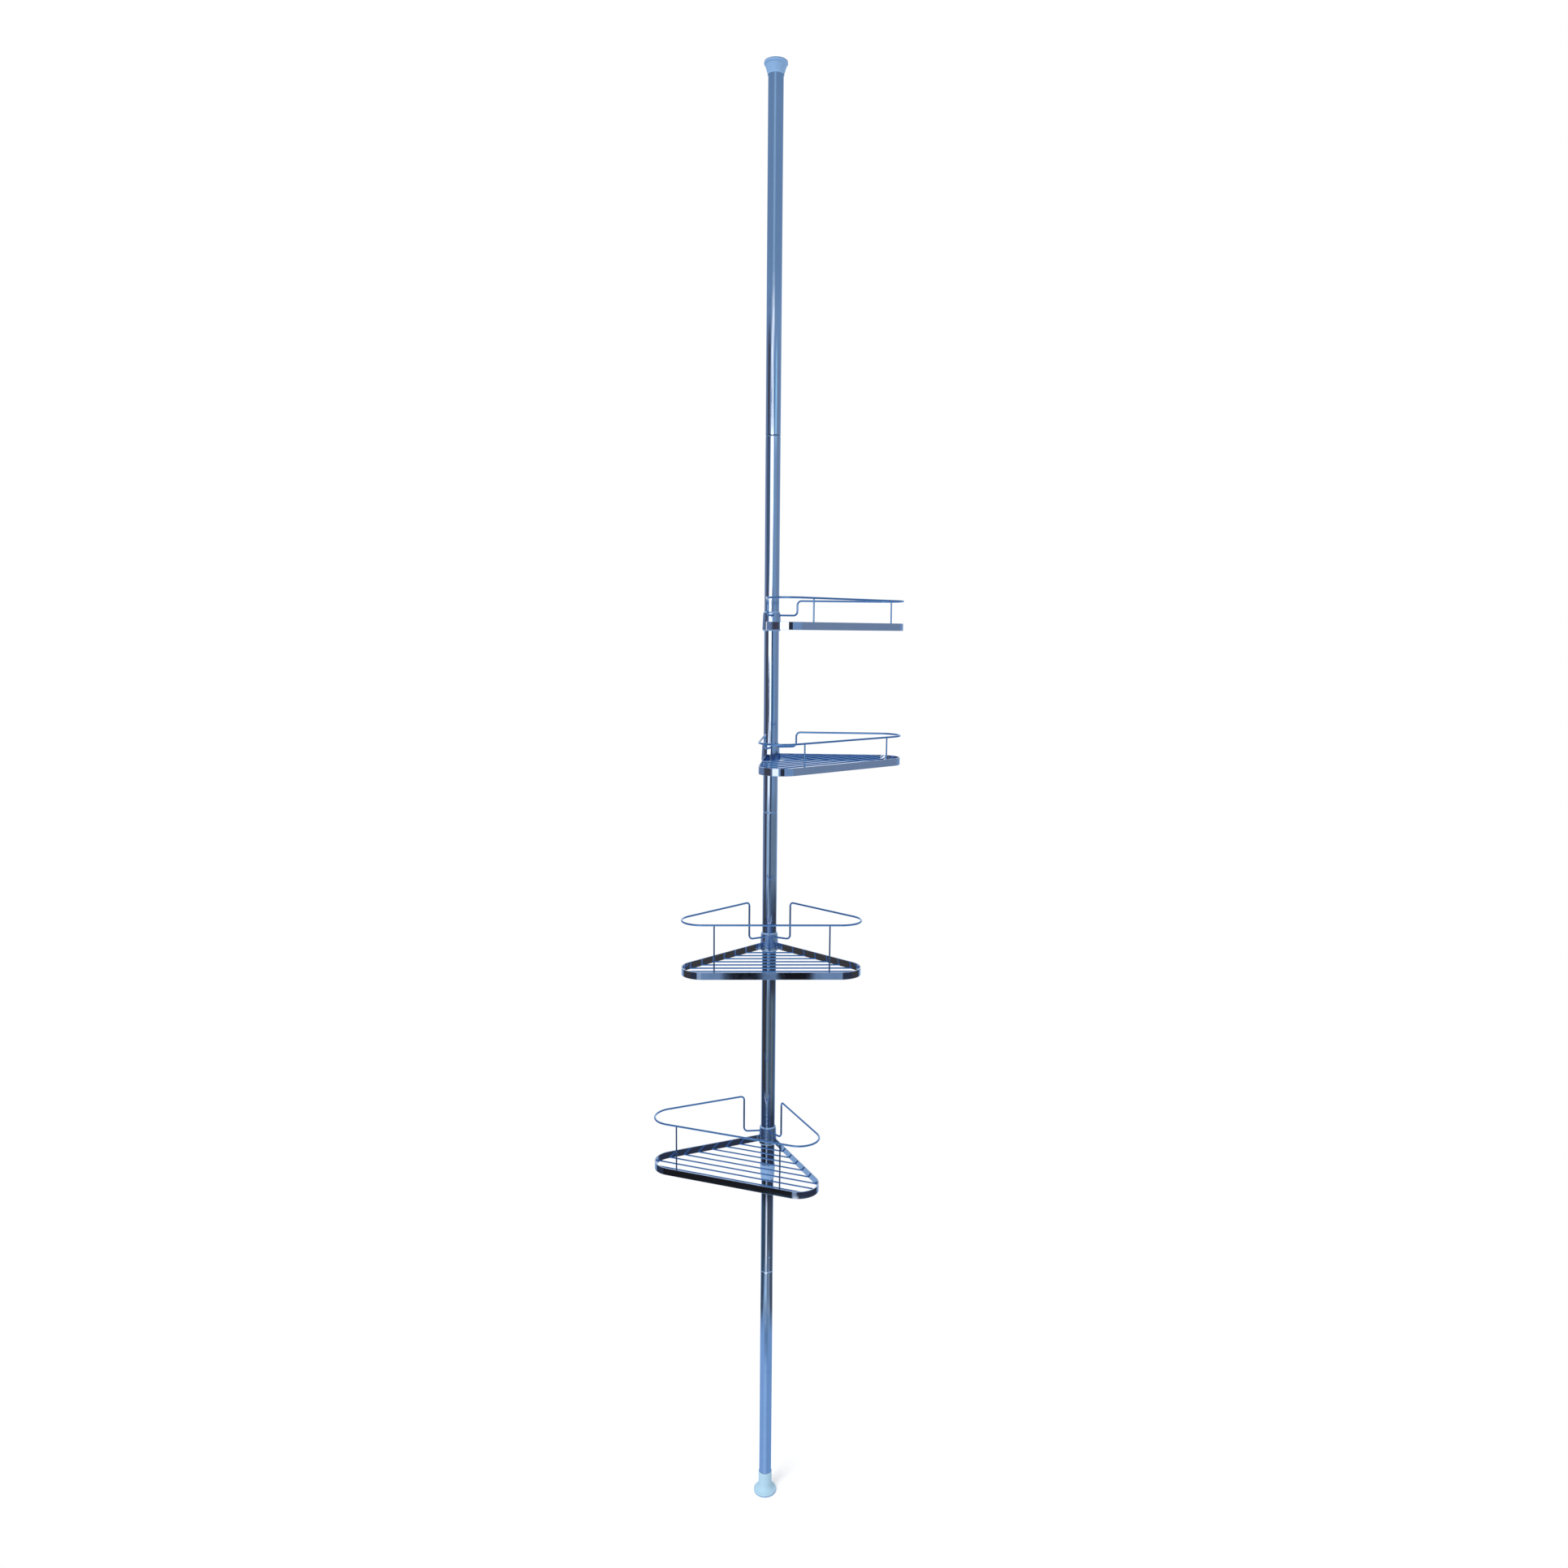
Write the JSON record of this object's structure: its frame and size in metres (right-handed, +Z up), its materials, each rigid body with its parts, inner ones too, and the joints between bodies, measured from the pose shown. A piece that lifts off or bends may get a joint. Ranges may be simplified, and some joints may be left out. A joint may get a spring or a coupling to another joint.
{
  "type": "tension pole shelf unit",
  "caption": "Corner shelf unit of wire baskets clamped on a spring-loaded chrome pole that stands wedged between floor and ceiling",
  "frame": {"origin": "middle of the foot's pad, on the floor", "axes": "+Z up the pole's axis, -Y towards the viewer, +X to the viewer's right"},
  "size_m": [0.4086, 0.2398, 2.4621],
  "materials": {
    "chrome_tube": "polished chrome plate on thin steel tube",
    "chrome_band": "polished chrome plate on bent flat strip",
    "chrome_wire": "polished chrome plate on drawn wire",
    "chrome_collar": "polished chrome plate on a turned ring",
    "foot_plastic": "moulded pale blue plastic",
    "cap_plastic": "moulded pale blue plastic",
    "bush_plastic": "moulded pale blue plastic",
    "wedge_plastic": "moulded translucent plastic",
    "inner_plastic": "moulded white plastic, hidden",
    "rubber": "moulded rubber",
    "spring_steel": "oiled spring steel, hidden",
    "button_steel": "plated steel"
  },
  "bodies": {
    "lower_pole": {"foot_pad": "rubber", "foot_cap": "foot_plastic", "lower_tube": "chrome_tube", "snap_spring": "spring_steel", "inner_tube": "chrome_tube", "inner_tube_plug": "inner_plastic", "tension_spring": "spring_steel"},
    "upper_pole": {"telescope_bush": "bush_plastic", "sleeve_tube": "chrome_tube", "spring_stop": "inner_plastic", "middle_tube": "chrome_tube", "top_tube": "chrome_tube", "ceiling_cap": "cap_plastic", "ceiling_pad": "rubber"},
    "button": {"snap_button": "button_steel"},
    "clip_1": {"shelf_1_clip_left": "wedge_plastic", "shelf_1_clip_right": "wedge_plastic"},
    "shelf_1": {"shelf_1_collar": "chrome_collar", "shelf_1_band": "chrome_band", "shelf_1_floor_wires": "chrome_wire", "shelf_1_rail": "chrome_wire", "shelf_1_posts": "chrome_wire"},
    "clip_2": {"shelf_2_clip_left": "wedge_plastic", "shelf_2_clip_right": "wedge_plastic"},
    "shelf_2": {"shelf_2_collar": "chrome_collar", "shelf_2_band": "chrome_band", "shelf_2_floor_wires": "chrome_wire", "shelf_2_rail": "chrome_wire", "shelf_2_posts": "chrome_wire"},
    "clip_3": {"shelf_3_clip_left": "wedge_plastic", "shelf_3_clip_right": "wedge_plastic"},
    "shelf_3": {"shelf_3_collar": "chrome_collar", "shelf_3_band": "chrome_band", "shelf_3_floor_wires": "chrome_wire", "shelf_3_rail": "chrome_wire", "shelf_3_posts": "chrome_wire"},
    "clip_4": {"shelf_4_clip_left": "wedge_plastic", "shelf_4_clip_right": "wedge_plastic"},
    "shelf_4": {"shelf_4_collar": "chrome_collar", "shelf_4_band": "chrome_band", "shelf_4_floor_wires": "chrome_wire", "shelf_4_rail": "chrome_wire", "shelf_4_posts": "chrome_wire"}
  },
  "joints": [
    {"name": "pole_telescope", "type": "slide", "parent": "lower_pole", "child": "upper_pole", "axis": [0, 0, 1], "range_m": [-0.06, 0], "stiffness_N_per_m": 2500, "springref_m": 0.06, "deforming": ["tension_spring"]},
    {"name": "button_press", "type": "slide", "parent": "lower_pole", "child": "button", "axis": [-0.3584, 0.9336, 0], "range_m": [0, 0.003], "stiffness_N_per_m": 2000, "springref_m": -0.002, "deforming": ["snap_spring"]},
    {"name": "shelf_1_height", "type": "slide", "parent": "upper_pole", "child": "clip_1", "axis": [0, 0, 1], "range_m": [-0.08, 0.8]},
    {"name": "shelf_1_turn", "type": "hinge", "parent": "clip_1", "child": "shelf_1", "pos_m": [0, 0, 1.5881], "axis": [0, 0, 1], "continuous": true},
    {"name": "shelf_2_height", "type": "slide", "parent": "upper_pole", "child": "clip_2", "axis": [0, 0, 1], "range_m": [-0.11, 0.08]},
    {"name": "shelf_2_turn", "type": "hinge", "parent": "clip_2", "child": "shelf_2", "pos_m": [0, 0, 1.3681], "axis": [0, 0, 1], "continuous": true},
    {"name": "shelf_3_height", "type": "slide", "parent": "upper_pole", "child": "clip_3", "axis": [0, 0, 1], "range_m": [-0.12, 0.11]},
    {"name": "shelf_3_turn", "type": "hinge", "parent": "clip_3", "child": "shelf_3", "pos_m": [0, 0, 1.0401], "axis": [0, 0, 1], "continuous": true},
    {"name": "shelf_4_height", "type": "slide", "parent": "upper_pole", "child": "clip_4", "axis": [0, 0, 1], "range_m": [-0.025, 0.12]},
    {"name": "shelf_4_turn", "type": "hinge", "parent": "clip_4", "child": "shelf_4", "pos_m": [0, 0, 0.6891], "axis": [0, 0, 1], "continuous": true}
  ]
}
